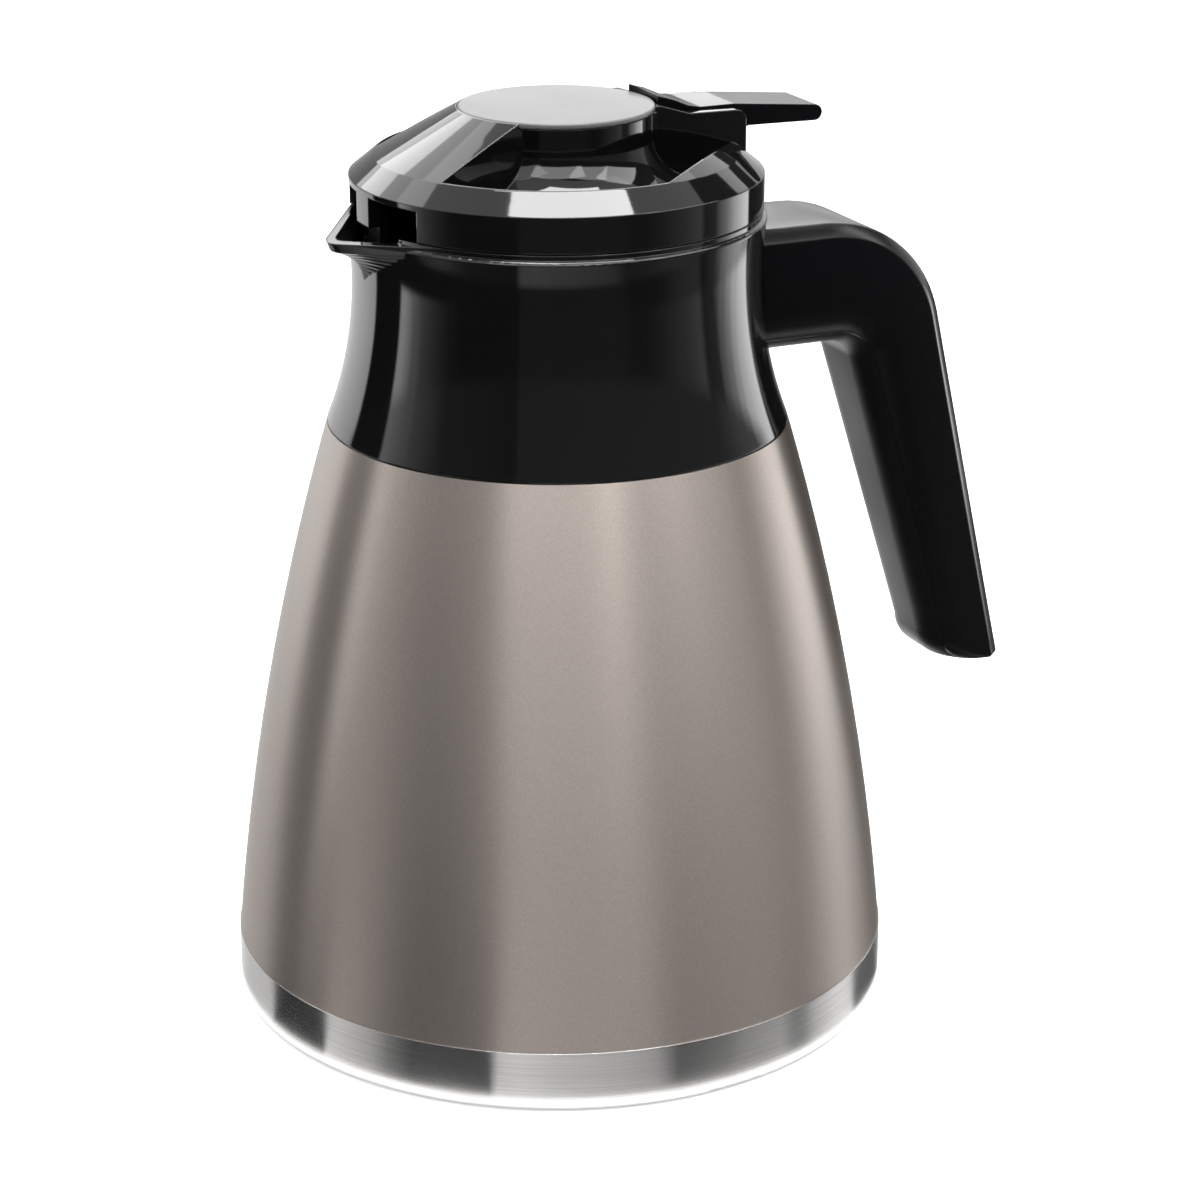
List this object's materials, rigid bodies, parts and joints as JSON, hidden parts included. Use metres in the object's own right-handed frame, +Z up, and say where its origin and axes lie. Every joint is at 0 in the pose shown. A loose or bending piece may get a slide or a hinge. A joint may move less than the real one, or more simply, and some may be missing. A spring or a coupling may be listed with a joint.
{
  "type": "thermal carafe with lift-out lid and thumb lever",
  "caption": "Vacuum carafe in taupe painted steel with a brushed foot band, black collar with a pointed spout, open D-section handle and a lid with finger scoops and a thumb lever.",
  "frame": {"origin": "centre of the foot ring's underside", "axes": "+Z up along the body's axis, +X towards the handle, -X towards the spout"},
  "size_m": [0.1984, 0.1604, 0.2213],
  "materials": {
    "taupe_paint": "satin metallic paint, taupe",
    "brushed_steel": "brushed round the axis",
    "flask_steel": "satin drawn steel",
    "plain_steel": "plain bright wire and turned steel",
    "gloss_black": "gloss moulded, black",
    "satin_black": "satin moulded, black",
    "grip_grey": "fine moulded texture, dark grey",
    "disc_grey": "satin, dark silver",
    "pale_silicone": "soft translucent white",
    "soft_black": "soft matt black"
  },
  "bodies": {
    "carafe": {"outer_shell": "taupe_paint", "base_band": "brushed_steel", "base_plate": "brushed_steel", "foot_ring": "soft_black", "inner_flask": "flask_steel", "vacuum_seal": "flask_steel", "collar": "gloss_black", "neck_ring": "satin_black", "neck_seal": "pale_silicone", "handle_shell": "satin_black", "handle_cover": "grip_grey", "handle_screws": "plain_steel"},
    "lid_seal": {"stopper_gasket": "pale_silicone"},
    "lid": {"lid_cover": "gloss_black", "lid_disc": "disc_grey", "stopper": "satin_black", "lever_pin": "plain_steel", "stem_seal": "pale_silicone", "valve_spring": "plain_steel"},
    "lever": {"thumb_lever": "satin_black"},
    "valve": {"valve_stem": "plain_steel", "stem_clip": "plain_steel", "valve_head": "satin_black", "valve_seal": "pale_silicone"}
  },
  "joints": [
    {"name": "lid_lift", "type": "slide", "parent": "carafe", "child": "lid_seal", "axis": [0, 0, 1], "range_m": [0, 0.12]},
    {"name": "lid_turn", "type": "hinge", "parent": "lid_seal", "child": "lid", "pos_m": [0, 0, 0.19], "axis": [0, 0, 1], "range_deg": [0, 60]},
    {"name": "lever_press", "type": "hinge", "parent": "lid", "child": "lever", "pos_m": [0.035, 0, 0.212], "axis": [0, 1, 0], "range_deg": [0, 9]},
    {"name": "valve_lift", "type": "slide", "parent": "lid", "child": "valve", "axis": [0, 0, 1], "range_m": [0, 0.0055], "stiffness_N_per_m": 400, "springref_m": -0.005, "deforming": ["valve_spring"]}
  ],
  "couplings": [
    {"joint": "lever_press", "follows": "valve_lift", "rad_per_m": 28.5}
  ]
}
